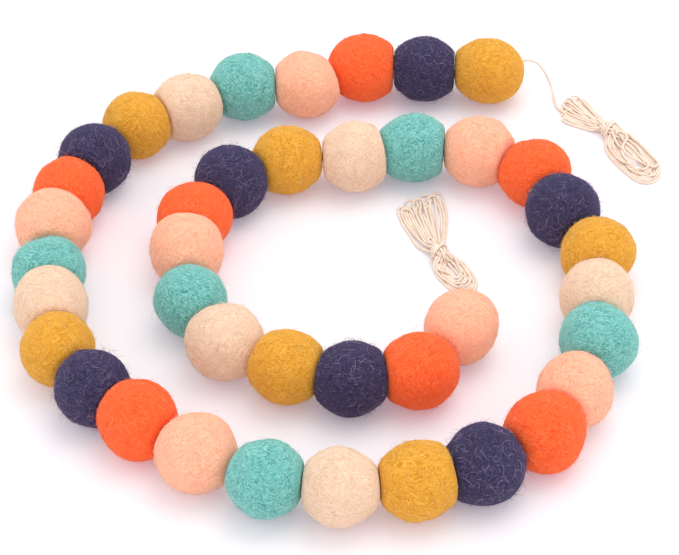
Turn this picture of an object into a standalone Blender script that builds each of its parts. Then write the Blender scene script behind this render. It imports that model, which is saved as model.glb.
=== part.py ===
"""Felt ball garland, laid in a loose spiral on a flat surface.

Forty wool felt balls are strung on one thin cord. At both ends of the row the cord runs on as
a short free tail into the rest of its length, which is wound into a small tied hank.

Units are metres. +X is right, +Y is away from the viewer and +Z is up. The origin lies on the
resting surface, under the middle of the box round the balls.
"""

import bpy
import numpy as np

MM = 0.001

# Driving sizes
CORD_DIAMETER = 1.0 * MM
CLEARANCE = 0.3 * MM          # left between pieces that touch
FOOT_SINK = 0.6 * MM          # how far a ball settles on its own weight, which makes its flat spot
FOOT_EDGE = 0.4 * MM          # a point of a ball or a hank lower than this lies on the surface
BALL_SEGMENTS = 14            # facets round the cord
BALL_BANDS = 7                # facets along the cord; odd, so that one of them is the flat spot
CORD_STEP = 2.5 * MM          # spacing of the points along a free tail
CORD_SIDES_LEVEL = 2          # bevel resolution of the cord, which gives eight sides

BORE_RADIUS = CORD_DIAMETER / 2 + CLEARANCE
FACETS_TURN = 2 * np.pi / BALL_SEGMENTS
# A polygon with this larger radius has the area of the round ball that it stands for
FACET_GAIN = np.sqrt(FACETS_TURN / np.sin(FACETS_TURN))

UP = np.array([0.0, 0.0, 1.0])

# The colours repeat along the string in this order
FELT_COLOURS = {
    "mustard": (0.80, 0.36, 0.055),
    "navy": (0.060, 0.048, 0.105),
    "coral": (0.95, 0.135, 0.042),
    "peach": (0.95, 0.48, 0.31),
    "teal": (0.19, 0.51, 0.46),
    "cream": (0.92, 0.63, 0.45),
}
CORD_COLOUR = (0.95, 0.83, 0.70)
FELT_ROUGHNESS = 0.95
CORD_ROUGHNESS = 0.85

# One row for each ball in the order of the string, from the outer end of the spiral to the
# inner one: where its centre stands on the surface and how thick it is, in millimetres
BALLS = (
    # x, y, diameter
    (61.0, 105.0, 25.0),
    (37.0, 106.0, 24.6),
    (14.5, 107.3, 25.0),
    (-6.5, 96.5, 24.6),
    (-29.5, 95.5, 25.2),
    (-49.5, 83.5, 24.6),
    (-67.5, 73.0, 24.6),
    (-81.5, 52.5, 25.6),
    (-89.0, 34.5, 25.2),
    (-93.0, 16.0, 25.0),
    (-92.5, -7.0, 25.2),
    (-90.0, -25.0, 25.0),
    (-86.0, -45.5, 24.6),
    (-73.5, -64.0, 24.8),
    (-58.0, -78.0, 25.0),
    (-39.0, -93.0, 25.6),
    (-17.0, -104.5, 24.8),
    (6.0, -107.6, 25.0),
    (30.0, -105.0, 25.2),
    (50.5, -98.0, 25.6),
    (70.5, -83.5, 25.6),
    (81.0, -65.0, 24.8),
    (90.0, -42.0, 25.4),
    (91.5, -20.5, 25.0),
    (93.0, 2.5, 24.8),
    (83.0, 24.0, 25.6),
    (74.5, 46.0, 25.2),
    (55.5, 57.0, 24.8),
    (32.0, 59.5, 25.2),
    (11.0, 54.0, 25.4),
    (-12.5, 53.0, 24.6),
    (-33.0, 40.5, 25.6),
    (-44.5, 20.5, 25.4),
    (-46.0, 2.5, 25.2),
    (-44.0, -22.0, 24.8),
    (-32.0, -42.0, 25.6),
    (-11.5, -54.0, 24.6),
    (9.5, -59.5, 25.0),
    (31.5, -56.0, 25.2),
    (45.5, -35.0, 25.0),
)

# Which way the cord leaves the two end balls
FIRST_EXIT_HEADING = (0.93, 0.36, 0.08)
LAST_EXIT_HEADING = (0.36, 0.93, 0.05)

# Free tails, in millimetres, from the ball down to the surface and up to the hank. The first
# point, at the ball, is worked out.
TAIL_A_ROUTE = (
    (76.5, 110.7, 12.9),
    (79.8, 110.8, 11.2),
    (82.3, 110.0, 8.2),
    (84.2, 108.2, 4.9),
    (85.4, 105.0, 2.3),
    (86.1, 101.2, 0.9),
    (86.6, 98.0, 0.6),
    (87.2, 96.6, 0.6),
)
TAIL_B_ROUTE = (
    (51.5, -19.6, 12.2),
    (52.0, -16.6, 10.0),
    (51.6, -13.9, 6.2),
    (50.7, -11.6, 2.8),
    (49.9, -8.9, 0.8),
    (49.1, -6.2, 0.6),
)

# Hanks, in millimetres: the middle line on the surface, the half width and the height of each
# section, for the lobe next to the tail's side and for the other lobe
HANK_A_WAIST = (104.5, 82.0)
HANK_A_UPPER = (
    # x, y, half width, height
    (91.6, 101.2, 2.0, 1.6),
    (92.3, 99.0, 5.3, 2.8),
    (94.5, 95.5, 7.2, 3.8),
    (96.8, 91.5, 7.3, 4.4),
    (99.4, 88.0, 5.4, 4.6),
    (102.2, 85.2, 3.4, 4.6),
)
HANK_A_LOWER = (
    (106.6, 78.6, 3.4, 4.4),
    (109.1, 75.2, 4.9, 4.2),
    (111.4, 71.6, 6.1, 3.8),
    (113.6, 66.5, 6.2, 3.4),
    (115.7, 61.4, 5.8, 3.0),
    (117.4, 57.3, 4.4, 2.4),
    (118.3, 54.5, 1.6, 1.4),
)
HANK_B_WAIST = (40.0, 13.0)
HANK_B_UPPER = (
    (37.3, 46.6, 2.2, 1.6),
    (36.3, 43.7, 5.7, 2.6),
    (35.5, 38.5, 8.0, 3.2),
    (35.7, 32.0, 8.1, 3.8),
    (36.9, 26.0, 6.6, 4.2),
    (38.5, 19.6, 4.2, 4.4),
    (39.4, 16.2, 3.2, 4.4),
)
HANK_B_LOWER = (
    (41.4, 9.8, 3.2, 4.2),
    (43.6, 6.5, 4.6, 4.0),
    (45.6, 2.4, 5.5, 3.6),
    (47.3, -1.2, 5.2, 3.2),
    (48.4, -4.0, 3.8, 2.4),
    (49.0, -5.8, 1.5, 1.4),
)
HANK_WAIST_HALF_WIDTH = 2.9 * MM
HANK_WAIST_HEIGHT = 4.8 * MM
HANK_A_WRAPS = 3
HANK_B_WRAPS = 2
HANK_SECTION_POINTS = 24
HANK_RIDGES = 12              # bundled runs of cord that show round a section
HANK_RIDGE_DEPTH = 0.06       # depth of a ridge as a share of the section's radius
SECTION_ROUNDNESS = 2.4       # exponent of the section's outline: 2 is an ellipse, more is boxier


def unit(vector):
    vector = np.asarray(vector, dtype=float)
    return vector / np.linalg.norm(vector)


def clear_scene():
    for old in list(bpy.data.objects):
        bpy.data.objects.remove(old, do_unlink=True)


def plain_material(name, colour, roughness):
    material = bpy.data.materials.new(name)
    material.use_nodes = True
    shader = material.node_tree.nodes["Principled BSDF"]
    shader.inputs["Base Color"].default_value = (*colour, 1.0)
    shader.inputs["Roughness"].default_value = roughness
    shader.inputs["Metallic"].default_value = 0.0
    material.diffuse_color = (*colour, 1.0)
    return material


def add_solid(name, vertices, faces, colour, roughness):
    mesh = bpy.data.meshes.new(name)
    mesh.from_pydata([tuple(map(float, point)) for point in vertices], [], faces)
    mesh.shade_smooth()
    mesh.materials.append(plain_material(name + "_finish", colour, roughness))
    solid = bpy.data.objects.new(name, mesh)
    bpy.context.scene.collection.objects.link(solid)
    return solid


def add_cord(name, points):
    """A round cord with closed ends along a list of points."""
    curve = bpy.data.curves.new(name, "CURVE")
    curve.dimensions = "3D"
    curve.bevel_depth = CORD_DIAMETER / 2
    curve.bevel_resolution = CORD_SIDES_LEVEL
    curve.use_fill_caps = True
    spline = curve.splines.new("POLY")
    spline.points.add(len(points) - 1)
    for target, point in zip(spline.points, points):
        target.co = (*map(float, point), 1.0)
    curve.materials.append(plain_material(name + "_finish", CORD_COLOUR, CORD_ROUGHNESS))
    cord = bpy.data.objects.new(name, curve)
    bpy.context.scene.collection.objects.link(cord)
    return cord


def smooth_route(stations, step):
    """Points about a step apart on the smooth curve (Catmull-Rom) through the stations."""
    stations = np.asarray(stations, dtype=float)
    ends = np.vstack([2 * stations[0] - stations[1], stations, 2 * stations[-1] - stations[-2]])
    route = []
    for before, start, stop, after in zip(ends, ends[1:], ends[2:], ends[3:]):
        for t in np.linspace(0, 1, 40, endpoint=False):
            route.append(0.5 * (2 * start + (stop - before) * t
                                + (2 * before - 5 * start + 4 * stop - after) * t ** 2
                                + (3 * start - 3 * stop + after - before) * t ** 3))
    route = np.array(route + [stations[-1]])
    travelled = np.concatenate([[0], np.cumsum(np.linalg.norm(np.diff(route, axis=0), axis=1))])
    even = np.linspace(0, travelled[-1], int(round(travelled[-1] / step)) + 1)
    return np.column_stack([np.interp(even, travelled, route[:, i]) for i in range(3)])


def ball_places():
    """Centres and radii of the balls; each stands on its own settled foot."""
    rows = np.array(BALLS) * MM
    radii = rows[:, 2] / 2
    centres = np.column_stack([rows[:, 0], rows[:, 1], radii - FOOT_SINK])
    return centres, radii


def string_stations(centres, radii):
    """Where the string crosses from ball to ball, with its way out of both end balls.

    Between two balls the string passes the middle of their contact, which divides the line
    between the centres in the ratio of the radii.
    """
    share = (radii[:-1] / (radii[:-1] + radii[1:]))[:, None]
    crossings = centres[:-1] + (centres[1:] - centres[:-1]) * share
    first = centres[0] + radii[0] * unit(FIRST_EXIT_HEADING)
    last = centres[-1] + radii[-1] * unit(LAST_EXIT_HEADING)
    return np.vstack([first, crossings, last])


def contact_planes(index, centres, stations):
    """Planes that press a ball flat: a point and an outward direction for each neighbour."""
    planes = []
    for neighbour, station in ((index - 1, index), (index + 1, index + 1)):
        if 0 <= neighbour < len(centres):
            outward = unit(centres[neighbour] - centres[index])
            planes.append((stations[station] - outward * CLEARANCE / 2, outward))
    return planes


def reach_to_sphere(origins, heading, centre, radius):
    """Distance along one heading from points inside a sphere to its surface."""
    offsets = origins - centre
    along = offsets @ heading
    return -along + np.sqrt(along ** 2 + radius ** 2 - np.sum(offsets ** 2, axis=1))


def ball_mesh(centre, radius, start, end, planes):
    """One felt ball with its string hole.

    Rings of points on a sphere go round the string's direction from the start to the end. They
    are pressed back to the contact planes and to the resting surface. The first and the last
    ring are the mouths of the hole, which may lie off the middle where the string turns.
    """
    axis = unit(end - start)
    side = unit(np.cross(UP, axis))
    down = np.cross(side, axis)
    down = down if down[2] < 0 else -down
    turns = FACETS_TURN * (np.arange(BALL_SEGMENTS) + 0.5)
    spokes = np.outer(np.cos(turns), down) + np.outer(np.sin(turns), side)
    skin = radius * FACET_GAIN

    rings = []
    for angle in np.pi * np.arange(1, BALL_BANDS) / BALL_BANDS:
        ring = centre + skin * (np.sin(angle) * spokes - np.cos(angle) * axis)
        for point, outward in planes:
            ring = ring - np.outer(np.maximum((ring - point) @ outward, 0), outward)
        ring[:, 2] = np.where(ring[:, 2] < FOOT_EDGE, 0, ring[:, 2])
        rings.append(ring)

    wall = (start + end) / 2 + BORE_RADIUS * spokes
    mouths = []
    for heading in (-axis, axis):
        reach = reach_to_sphere(wall, heading, centre, skin)
        for point, outward in planes:
            facing = heading @ outward
            if facing > 0:
                reach = np.minimum(reach, ((point - wall) @ outward) / facing)
        mouths.append(wall + heading * reach[:, None])
    rings = [mouths[0], *rings, mouths[1]]

    faces = []
    for low in range(len(rings)):
        high = (low + 1) % len(rings)
        for j in range(BALL_SEGMENTS):
            k = (j + 1) % BALL_SEGMENTS
            faces.append((low * BALL_SEGMENTS + j, low * BALL_SEGMENTS + k,
                          high * BALL_SEGMENTS + k, high * BALL_SEGMENTS + j))
    return np.vstack(rings), faces_outward(np.vstack(rings), faces)


def faces_outward(vertices, faces):
    """The faces, all turned round if the closed surface that they make is inside out."""
    volume = 0.0
    for face in faces:
        first = vertices[face[0]]
        for second, third in zip(face[1:], face[2:]):
            volume += np.dot(first, np.cross(vertices[second], vertices[third]))
    return faces if volume > 0 else [tuple(reversed(face)) for face in faces]


def wrap_rows(before, waist, after, wraps):
    """Sections of the wraps at the waist: a crest for each turn of cord, a groove between."""
    heading = unit(np.subtract(after[:2], before[:2]))
    rows = []
    for place in np.arange(-wraps, wraps + 1) / 2:
        crest = round(place * 2 + wraps) % 2 == 1
        lift = CORD_DIAMETER if crest else CORD_DIAMETER / 2
        x, y = np.array(waist) * MM + heading * place * CORD_DIAMETER
        rows.append((x, y, HANK_WAIST_HALF_WIDTH + lift, HANK_WAIST_HEIGHT + lift, 0.0))
    return rows


def add_hank(name, upper, waist, lower, wraps):
    """A tied hank as one solid: two flat lobes of bundled runs and the wraps between them.

    Each section is a rounded outline that stands on the surface, with a ridge for each bundle
    of runs; the sections follow the middle line of the hank.
    """
    rows = [(*(np.array(row) * MM), HANK_RIDGE_DEPTH) for row in upper]
    rows += wrap_rows(upper[-1], waist, lower[0], wraps)
    rows += [(*(np.array(row) * MM), HANK_RIDGE_DEPTH) for row in lower]
    rows = np.array(rows)
    heading = np.gradient(rows[:, :2], axis=0)
    heading /= np.linalg.norm(heading, axis=1)[:, None]
    across = np.column_stack([-heading[:, 1], heading[:, 0]])

    turns = 2 * np.pi * np.arange(HANK_SECTION_POINTS) / HANK_SECTION_POINTS
    round_off = 2 / SECTION_ROUNDNESS
    width = np.sign(np.cos(turns)) * np.abs(np.cos(turns)) ** round_off
    rise = np.sign(np.sin(turns)) * np.abs(np.sin(turns)) ** round_off
    vertices = []
    for (x, y, half_width, height, depth), (side_x, side_y) in zip(rows, across):
        ridge = 1 + depth * (np.cos(HANK_RIDGES * turns) - 1) / 2
        sideways = half_width * width * ridge
        level = height / 2 * (1 + rise * np.where(rise > 0, ridge, 1.0))
        level = np.where(level < FOOT_EDGE, 0, level)
        vertices.append(np.column_stack([x + side_x * sideways, y + side_y * sideways, level]))
    vertices = np.vstack(vertices)

    count = HANK_SECTION_POINTS
    faces = [tuple(range(count)), tuple(range(len(vertices) - 1, len(vertices) - count - 1, -1))]
    for row in range(len(rows) - 1):
        for j in range(count):
            k = (j + 1) % count
            faces.append((row * count + k, row * count + j,
                          (row + 1) * count + j, (row + 1) * count + k))
    faces = faces_outward(vertices, faces)
    return add_solid(name, vertices, faces, CORD_COLOUR, CORD_ROUGHNESS)


def add_tail(name, exit_point, heading, route):
    """A free tail that starts just clear of the string's end and follows its route."""
    start = exit_point + unit(heading) * CLEARANCE
    stations = np.vstack([start, np.array(route) * MM])
    return add_cord(name, smooth_route(stations, CORD_STEP))


def build_garland():
    clear_scene()
    centres, radii = ball_places()
    stations = string_stations(centres, radii)
    for index, (centre, radius) in enumerate(zip(centres, radii)):
        planes = contact_planes(index, centres, stations)
        start, end = stations[index], stations[index + 1]
        vertices, faces = ball_mesh(centre, radius, start, end, planes)
        colour = list(FELT_COLOURS.values())[index % len(FELT_COLOURS)]
        add_solid(f"ball_{index + 1:02d}", vertices, faces, colour, FELT_ROUGHNESS)
    add_cord("string", stations)
    add_tail("tail_a", stations[0], FIRST_EXIT_HEADING, TAIL_A_ROUTE)
    add_tail("tail_b", stations[-1], LAST_EXIT_HEADING, TAIL_B_ROUTE)
    add_hank("hank_a", HANK_A_UPPER, HANK_A_WAIST, HANK_A_LOWER, HANK_A_WRAPS)
    add_hank("hank_b", HANK_B_UPPER, HANK_B_WAIST, HANK_B_LOWER, HANK_B_WRAPS)


build_garland()
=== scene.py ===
# %% [markdown]
# # A felt ball garland, dressed for its picture
# The real thing is forty wool felt balls on one thin cotton cord, laid down in a loose spiral.
# At each end of the row the spare cord is wound into a small hank and tied round the middle.
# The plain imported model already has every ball, the string, both tails and both hanks where
# they belong. This lesson keeps those places and gives each piece the surface of the real one.

import bpy
import numpy as np
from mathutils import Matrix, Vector


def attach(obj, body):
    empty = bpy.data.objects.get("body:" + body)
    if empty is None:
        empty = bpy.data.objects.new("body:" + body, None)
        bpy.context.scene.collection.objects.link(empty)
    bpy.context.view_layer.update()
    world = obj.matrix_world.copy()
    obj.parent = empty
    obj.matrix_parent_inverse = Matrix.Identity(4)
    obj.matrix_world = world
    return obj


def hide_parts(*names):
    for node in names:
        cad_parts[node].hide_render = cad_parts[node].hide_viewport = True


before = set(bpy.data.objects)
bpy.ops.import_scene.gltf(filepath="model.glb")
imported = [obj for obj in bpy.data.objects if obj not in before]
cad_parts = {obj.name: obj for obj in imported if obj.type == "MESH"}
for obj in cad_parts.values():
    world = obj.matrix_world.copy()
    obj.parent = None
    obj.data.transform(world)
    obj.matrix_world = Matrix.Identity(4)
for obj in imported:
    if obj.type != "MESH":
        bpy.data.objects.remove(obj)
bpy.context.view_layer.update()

MM = 0.001  # the frame is in metres

# %% [markdown]
# ## The camera
# The photograph looks down on the garland at a steep angle through a long lens, so far balls are
# only a little smaller than near ones. A camera is easiest to place by what it looks at: here a
# point just off the middle of the spiral, at the height of the balls' centres. The lens then
# follows from how large one ball is in the picture.

# %% Camera at the photograph's angle
CAMERA_TARGET = Vector((5.8, -10.65, 12.2)) * MM
CAMERA_TILT = np.radians(41.46)  # below the horizon
CAMERA_DISTANCE = 838 * MM
CAMERA_LENS = 132.3  # in mm, like the width of the picture behind it
PICTURE_WIDTH = 36.0
NEAREST_SEEN = 10 * MM

camera_data = bpy.data.cameras.new("camera")
camera_data.lens = CAMERA_LENS
camera_data.sensor_width = PICTURE_WIDTH
camera_data.clip_start = NEAREST_SEEN
camera = bpy.data.objects.new("camera", camera_data)
bpy.context.scene.collection.objects.link(camera)
bpy.context.scene.camera = camera
camera_back = Vector((0, -np.cos(CAMERA_TILT), np.sin(CAMERA_TILT)))
camera.location = CAMERA_TARGET + camera_back * CAMERA_DISTANCE
camera.rotation_euler = (-camera_back).to_track_quat("-Z", "Y").to_euler()
print("camera at", [round(x, 4) for x in camera.location])

# %% [markdown]
# ## Where each ball lies
# Every ball of the garland has its own place and is a millimetre or so larger or smaller than
# the next, as hand-rolled felt is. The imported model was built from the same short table, so the
# new balls sit exactly where the plain ones do.

# %% The balls' table
# One row for each ball in the order of the string: where it stands and how thick it is, in mm
BALLS = (
    # x, y, diameter
    (61.0, 105.0, 25.0), (37.0, 106.0, 24.6), (14.5, 107.3, 25.0), (-6.5, 96.5, 24.6),
    (-29.5, 95.5, 25.2), (-49.5, 83.5, 24.6), (-67.5, 73.0, 24.6), (-81.5, 52.5, 25.6),
    (-89.0, 34.5, 25.2), (-93.0, 16.0, 25.0), (-92.5, -7.0, 25.2), (-90.0, -25.0, 25.0),
    (-86.0, -45.5, 24.6), (-73.5, -64.0, 24.8), (-58.0, -78.0, 25.0), (-39.0, -93.0, 25.6),
    (-17.0, -104.5, 24.8), (6.0, -107.6, 25.0), (30.0, -105.0, 25.2), (50.5, -98.0, 25.6),
    (70.5, -83.5, 25.6), (81.0, -65.0, 24.8), (90.0, -42.0, 25.4), (91.5, -20.5, 25.0),
    (93.0, 2.5, 24.8), (83.0, 24.0, 25.6), (74.5, 46.0, 25.2), (55.5, 57.0, 24.8),
    (32.0, 59.5, 25.2), (11.0, 54.0, 25.4), (-12.5, 53.0, 24.6), (-33.0, 40.5, 25.6),
    (-44.5, 20.5, 25.4), (-46.0, 2.5, 25.2), (-44.0, -22.0, 24.8), (-32.0, -42.0, 25.6),
    (-11.5, -54.0, 24.6), (9.5, -59.5, 25.0), (31.5, -56.0, 25.2), (45.5, -35.0, 25.0),
)
COLOURS = ("mustard", "navy", "coral", "peach", "teal", "cream")  # repeats along the string
FOOT_SINK = 0.6 * MM  # how far a ball settles on its own weight
# Which way the string leaves the first ball and the last one
FIRST_EXIT_HEADING = (0.93, 0.36, 0.08)
LAST_EXIT_HEADING = (0.36, 0.93, 0.05)


def unit(vectors):
    """Each vector divided by its length."""
    vectors = np.asarray(vectors, dtype=float)
    return vectors / np.linalg.norm(vectors, axis=-1, keepdims=True)


ball_rows = np.array(BALLS) * MM
radii = ball_rows[:, 2] / 2
centres = np.column_stack([ball_rows[:, 0], ball_rows[:, 1], radii - FOOT_SINK])
print("balls", len(centres), "from", round(2 * radii.min() / MM, 1),
      "to", round(2 * radii.max() / MM, 1), "mm")

# %% The string's stations
def length_of(path):
    """Length of a path of points."""
    return np.linalg.norm(np.diff(path, axis=0), axis=1).sum()


def distance_along(path):
    """How far along a path each of its points lies from the first one."""
    return np.append(0, np.cumsum(np.linalg.norm(np.diff(path, axis=0), axis=1)))


share = (radii[:-1] / (radii[:-1] + radii[1:]))[:, None]
crossings = centres[:-1] + (centres[1:] - centres[:-1]) * share
first_exit = centres[0] + radii[0] * unit(FIRST_EXIT_HEADING)
last_exit = centres[-1] + radii[-1] * unit(LAST_EXIT_HEADING)
stations = np.vstack([first_exit, crossings, last_exit])
print("string through the balls", round(length_of(stations), 3), "m")

# %% [markdown]
# ## Turning arrays into meshes
# Each new surface is a grid of points: a function of two parameters, worked out for the whole
# grid at once. A grid that closes on itself both ways is a ring, which suits a ball with a hole
# through it. These helpers write such a grid into a mesh.

# %% Grid helpers
def grid_faces(rows, columns, close_rows, start=0):
    """Quads of a grid whose columns close on themselves, and its rows too if asked."""
    row = np.arange(rows if close_rows else rows - 1)[:, None]
    column = np.arange(columns)[None, :]
    after_row, after_column = (row + 1) % rows, (column + 1) % columns
    corners = [row * columns + column, row * columns + after_column,
               after_row * columns + after_column, after_row * columns + column]
    return np.stack(corners, axis=-1).reshape(-1, 4) + start


def spokes(count, side, up):
    """Directions evenly round, from two that are square to each other: the cosine of the angle
    times the one plus its sine times the other."""
    angle = 2 * np.pi * np.arange(count)[:, None] / count
    return np.cos(angle) * side[..., None, :] + np.sin(angle) * up[..., None, :]


def add_mesh(name, points, faces, smooth=True):
    """An object from an array of points and arrays of quads or triangles."""
    groups = [np.asarray(group) for group in (faces if isinstance(faces, list) else [faces])]
    sizes = np.concatenate([np.full(len(group), group.shape[1]) for group in groups])
    corners = np.concatenate([group.ravel() for group in groups])
    mesh = bpy.data.meshes.new(name)
    mesh.vertices.add(len(points))
    mesh.vertices.foreach_set("co", np.asarray(points, dtype=np.float32).ravel())
    mesh.loops.add(len(corners))
    mesh.loops.foreach_set("vertex_index", corners.astype(np.int32))
    mesh.polygons.add(len(sizes))
    mesh.polygons.foreach_set("loop_start", (np.cumsum(sizes) - sizes).astype(np.int32))
    mesh.polygons.foreach_set("use_smooth", np.full(len(sizes), smooth))
    mesh.update(calc_edges=True)
    mesh.validate()
    piece = bpy.data.objects.new(name, mesh)
    bpy.context.scene.collection.objects.link(piece)
    return piece


# %% [markdown]
# ## The spare cord and its hanks
# At each end the cord runs on out of the last ball, drops to the table and goes into a small
# hank: spare cord folded to and fro in a bow tie shape, then wrapped round the middle. One end
# of a hank fans out and the other is a rounder bundle of loops inside each other.
# Drawing more than a metre of cord by hand would look stiff. So each loop gets one row
# of sizes, read off the photograph as real millimetres, a function lays the loops, and the laid
# cord then settles: it bends, drops, and every turn pushes off the turns that it touches.

# %% A smooth route through given points
CORD_THICKNESS = 1.0  # in millimetres, as is all of the winding
ROUTE_STEP = 0.8
CURVE_POINTS = 24  # worked out in each stretch before they are spaced evenly


def even_route(points, step):
    """Points a step apart on the smooth curve through the given ones: each stretch is a cubic
    whose slope at a point is half the way from the point before to the one after."""
    points = np.asarray(points, dtype=float)
    padded = np.vstack([2 * points[0] - points[1], points, 2 * points[-1] - points[-2]])
    before, start, stop, after = (padded[i:len(padded) - 3 + i, None] for i in range(4))
    t = np.linspace(0, 1, CURVE_POINTS, endpoint=False)[None, :, None]
    curve = start + 0.5 * ((stop - before) * t
                           + (2 * before - 5 * start + 4 * stop - after) * t ** 2
                           + (3 * start - 3 * stop + after - before) * t ** 3)
    curve = np.vstack([curve.reshape(-1, 3), points[-1:]])
    travelled = distance_along(curve)
    even = np.linspace(0, travelled[-1], int(round(travelled[-1] / step)) + 1)
    return np.column_stack([np.interp(even, travelled, curve[:, i]) for i in range(3)])


# %% Tables of the two hanks
# Both tails' ways from the end balls down to the floor and along it, in millimetres
TAIL_A_ROUTE = (
    (76.5, 110.7, 12.9), (79.8, 110.8, 11.2), (82.3, 110.0, 8.2), (84.2, 108.2, 4.9),
    (85.4, 105.0, 2.3), (86.1, 101.2, 0.9), (86.6, 98.0, 0.6), (87.2, 96.6, 0.6),
)
TAIL_B_ROUTE = (
    (51.5, -19.6, 12.2), (52.0, -16.6, 10.0), (51.6, -13.9, 6.2),
    (50.7, -11.6, 2.8), (49.9, -8.9, 0.8), (49.1, -6.2, 0.6),
)
# A hank has two lobes, one on either side of its waist. A lobe's heading is its middle line, root
# says how far from the waist it starts to open, and flare at what share of the way it has opened
# and with what power. Its loops are in millimetres from that root: how far the loop reaches, how
# far to the left of the middle line its way out and its way back lie, where the middle of its
# fold lies, the radius of the fold, its height there, and for some how far the way out bows.
# At the waist, rows says how many passes lie in each layer from below, and slots which place
# each pass takes. The wrap has its turns, first angle in radians, sense, place and pitch along
# the waist, tilt, half sizes and height. The tuck leads the end under the wraps, by how far
# across the waist, along it and up.
HANK_A = {
    "entry": ((89.0, 94.8, 1.2), (92.5, 91.8, 2.0), (97.5, 88.0, 2.6)),
    "waist": (104.6, 82.4),
    "far_lobe": {
        "heading": (11.5, -23.5), "root": 1.5, "flare": (0.36, 0.50),
        # reach, out, back, fold middle, fold radius, height, and bow where there is one
        "loops": (
            (27.8, -3.4, 2.2, -0.8, 2.7, 0.6), (25.6, -1.8, 4.6, 1.6, 2.8, 0.6),
            (23.4, -3.0, 1.6, -0.8, 2.1, 0.8), (29.9, -6.6, 5.4, -0.4, 5.4, 0.7),
            (28.8, -5.7, 6.6, 0.2, 5.2, 0.8), (27.5, -4.8, 7.4, 1.4, 4.8, 1.2),
            (25.9, -3.9, 3.4, -0.4, 3.4, 1.6), (24.6, -5.2, 4.6, -0.2, 3.2, 2.0),
            (24.0, -3.0, 2.6, 0.4, 2.4, 2.4, 6.5), (24.2, -1.4, 6.6, 4.4, 2.1, 3.0),
        ),
    },
    "near_lobe": {
        "heading": (-11.0, 15.5), "root": 1.0, "flare": (0.95, 0.65),
        "loops": (
            (19.4, -3.6, -0.4, -2.0, 1.7, 0.6), (18.8, 0.6, 3.6, 2.2, 1.7, 0.6),
            (18.6, 3.6, 6.6, 5.2, 1.6, 0.7), (21.6, -5.0, -2.6, -3.8, 1.7, 1.4),
            (20.2, 6.0, 3.2, 4.8, 1.6, 1.2), (23.2, -1.4, -3.8, -2.4, 1.5, 2.6),
            (15.6, 8.6, 6.2, 7.5, 1.4, 1.0), (22.8, 2.2, -0.4, 0.6, 1.5, 2.8),
            (21.6, 4.4, 1.4, 3.0, 1.5, 3.2),
        ),
    },
    "rows": (5, 5, 5, 4), "slots": (0, 3, 1, 4, 2, 8, 5, 9, 6, 7, 13, 10, 14, 11, 12, 18, 15, 17, 16),
    "wrap": {"turns": 2.72, "angle": 0.47, "spin": -1, "start": 1.7, "pitch": -1.14,
             "tilt": -0.42, "half_width": 3.35, "half_height": 2.5, "level": 3.0},
    "tuck": ((-0.9, -1.6, 5.2), (-0.1, -0.6, 4.9), (0.3, 1.2, 4.8), (0.4, 3.0, 4.2), (0.5, 4.8, 3.2)),
}
HANK_B = {
    "entry": ((47.4, -3.6, 0.6), (45.2, 0.2, 0.8), (43.0, 5.2, 1.6), (41.3, 9.6, 2.2)),
    "waist": (40.2, 13.2),
    "far_lobe": {
        "heading": (-5.0, 30.5), "root": 1.5, "flare": (0.72, 0.60),
        "loops": (
            (29.0, -5.4, -0.8, -3.2, 2.3, 0.6), (28.0, -1.6, 3.2, 0.8, 2.3, 0.6),
            (26.4, 3.0, 7.0, 5.0, 2.1, 0.7), (33.0, -7.4, 2.4, -5.6, 1.9, 1.0),
            (27.0, 9.4, 6.0, 8.0, 1.7, 0.8, 2.2), (32.2, -3.0, 2.2, -1.6, 3.0, 2.0),
            (30.8, 6.0, 1.4, 4.4, 2.0, 1.4), (31.0, -6.2, -1.0, -3.8, 2.0, 1.8),
            (25.4, 7.8, 4.2, 7.0, 1.7, 1.8), (29.4, 3.6, 0.2, 1.8, 2.0, 2.6),
        ),
    },
    "near_lobe": {
        "heading": (8.0, -14.5), "root": 0.8, "flare": (0.40, 0.55),
        "loops": (
            (18.2, -2.6, 2.8, 0.0, 2.6, 0.6), (16.4, -3.6, 1.2, -1.2, 2.0, 0.6),
            (15.0, -1.2, 3.8, 1.4, 2.1, 0.8), (20.2, -5.4, 5.8, 0.0, 5.0, 0.7),
            (18.8, -4.6, 5.2, 0.2, 4.4, 1.0), (17.6, -5.2, 4.4, -0.4, 3.8, 1.4),
            (16.0, -3.8, 3.4, -0.3, 3.0, 1.8), (14.2, -2.8, 2.4, -0.3, 2.3, 2.3),
            (12.6, -4.2, 3.4, 0.0, 2.2, 2.8),
        ),
    },
    "rows": (5, 5, 5, 4), "slots": (3, 0, 4, 1, 2, 5, 8, 6, 9, 7, 10, 13, 11, 14, 12, 15, 18, 16, 17),
    "wrap": {"turns": 1.74, "angle": 2.98, "spin": 1, "start": -0.9, "pitch": 1.14,
             "tilt": -0.62, "half_width": 3.2, "half_height": 2.5, "level": 3.0},
    "tuck": ((0.9, 1.6, 5.2), (0.1, 0.4, 4.9), (-0.3, -1.2, 4.8), (-0.4, -3.0, 4.1), (-0.4, -4.8, 3.2)),
}

# %% Winding a hank
WAIST_FIRST_LEVEL = 1.6
WAIST_LAYER_RISE = 0.88  # less than a thickness, as the layers nest
WAIST_HALF_LENGTH = 1.9
WRAP_POINTS = 10  # laid for each turn round the waist
LOBE_ROOT_LEVEL = 2.2
RUN_SHARES = np.array([0.20, 0.42, 0.66, 0.88])  # where a run's stations lie on its way
FOLD_PULL = np.array([0.0, 0.0, 0.12, 0.75])  # how far a run has turned in to its fold
FOLD_ANGLES = np.radians([-58, -20, 20, 58])
FOLD_LEAN = 0.5  # how far one side of a fold stands up
BOW_PLACE, BOW_WIDTH = 0.2, 0.2  # as shares of the way out


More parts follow.
